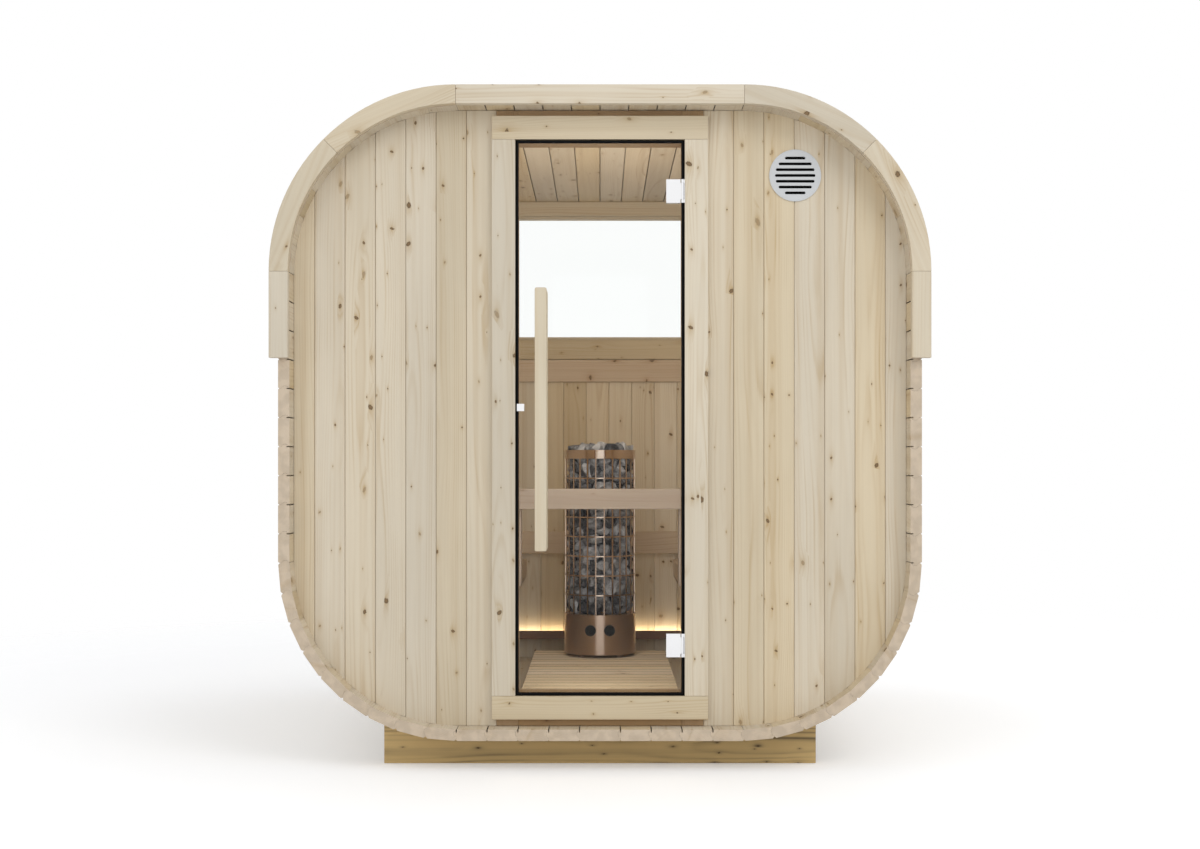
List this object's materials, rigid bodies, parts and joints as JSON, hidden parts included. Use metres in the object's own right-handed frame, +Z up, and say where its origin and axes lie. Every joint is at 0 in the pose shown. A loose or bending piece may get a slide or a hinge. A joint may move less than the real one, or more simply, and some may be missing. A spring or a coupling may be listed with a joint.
{
  "type": "cube sauna",
  "caption": "Rounded-square sauna cabin of staves on cradles, with a hinged glass door, a rear window, benches and a column heater filled with stones.",
  "frame": {"origin": "on the ground, under the middle of the cabin", "axes": "+Z up, -Y towards the door side, +X to the right seen from the front"},
  "size_m": [2.118, 2.086, 2.193],
  "materials": {
    "stave_spruce": "planed spruce, bead-and-cove staves",
    "wall_spruce": "planed spruce tongue-and-groove boards with small knots",
    "frame_spruce": "planed spruce frame timber",
    "trim_spruce": "planed pale spruce, sawn bow pieces",
    "inside_spruce": "planed spruce, warm inside tone",
    "bench_wood": "planed alder boards",
    "rail_wood": "heat-treated wood",
    "handle_wood": "sanded wood",
    "cradle_wood": "pressure-treated softwood",
    "roofing": "mineral-faced felt shingles on boards",
    "seal_black": "soft black seal",
    "clear_glass": "toughened clear glass",
    "hinge_chrome": "polished chrome",
    "band_steel": "stainless band and rod",
    "vent_metal": "satin anodised",
    "heater_steel": "polished stainless steel",
    "knob_black": "matt black",
    "heater_stone": "split dark olivine stones",
    "light": "warm light strip"
  },
  "bodies": {
    "cabin": {"cradles": "cradle_wood", "floor_staves": "stave_spruce", "ceiling_staves": "stave_spruce", "side_staves_left": "stave_spruce", "side_staves_right": "stave_spruce", "corner_staves_top_left": "stave_spruce", "corner_staves_top_right": "stave_spruce", "corner_staves_bottom_left": "stave_spruce", "corner_staves_bottom_right": "stave_spruce", "front_wall_left": "wall_spruce", "front_wall_right": "wall_spruce", "door_jamb_left": "frame_spruce", "door_jamb_right": "frame_spruce", "door_rails": "frame_spruce", "door_casing": "frame_spruce", "door_seal": "seal_black", "rear_wall_left": "wall_spruce", "rear_wall_right": "wall_spruce", "rear_wall_below": "wall_spruce", "window_frame": "frame_spruce", "window_glass": "clear_glass", "rear_boards": "inside_spruce", "light_rail": "rail_wood", "light_strip": "light", "floor_grate": "bench_wood", "bench_left": "bench_wood", "bench_right": "bench_wood", "bench_brackets": "rail_wood", "heater_guard": "bench_wood", "heater_base": "heater_steel", "heater_knobs": "knob_black", "heater_cage": "heater_steel", "heater_stones": "heater_stone", "vent_grille": "vent_metal", "bands": "band_steel", "roof_left": "roofing", "roof_top": "roofing", "roof_right": "roofing", "trim_left": "trim_spruce", "trim_top": "trim_spruce", "trim_right": "trim_spruce", "hinge_leaves": "hinge_chrome"},
    "door": {"door_glass": "clear_glass", "door_handle": "handle_wood", "hinge_plates": "hinge_chrome", "door_catch": "hinge_chrome"}
  },
  "joints": [
    {"name": "door_hinge", "type": "hinge", "parent": "cabin", "child": "door", "pos_m": [0.2665, -0.9612, 1.132], "axis": [0, 0, 1], "range_deg": [0, 95]}
  ]
}
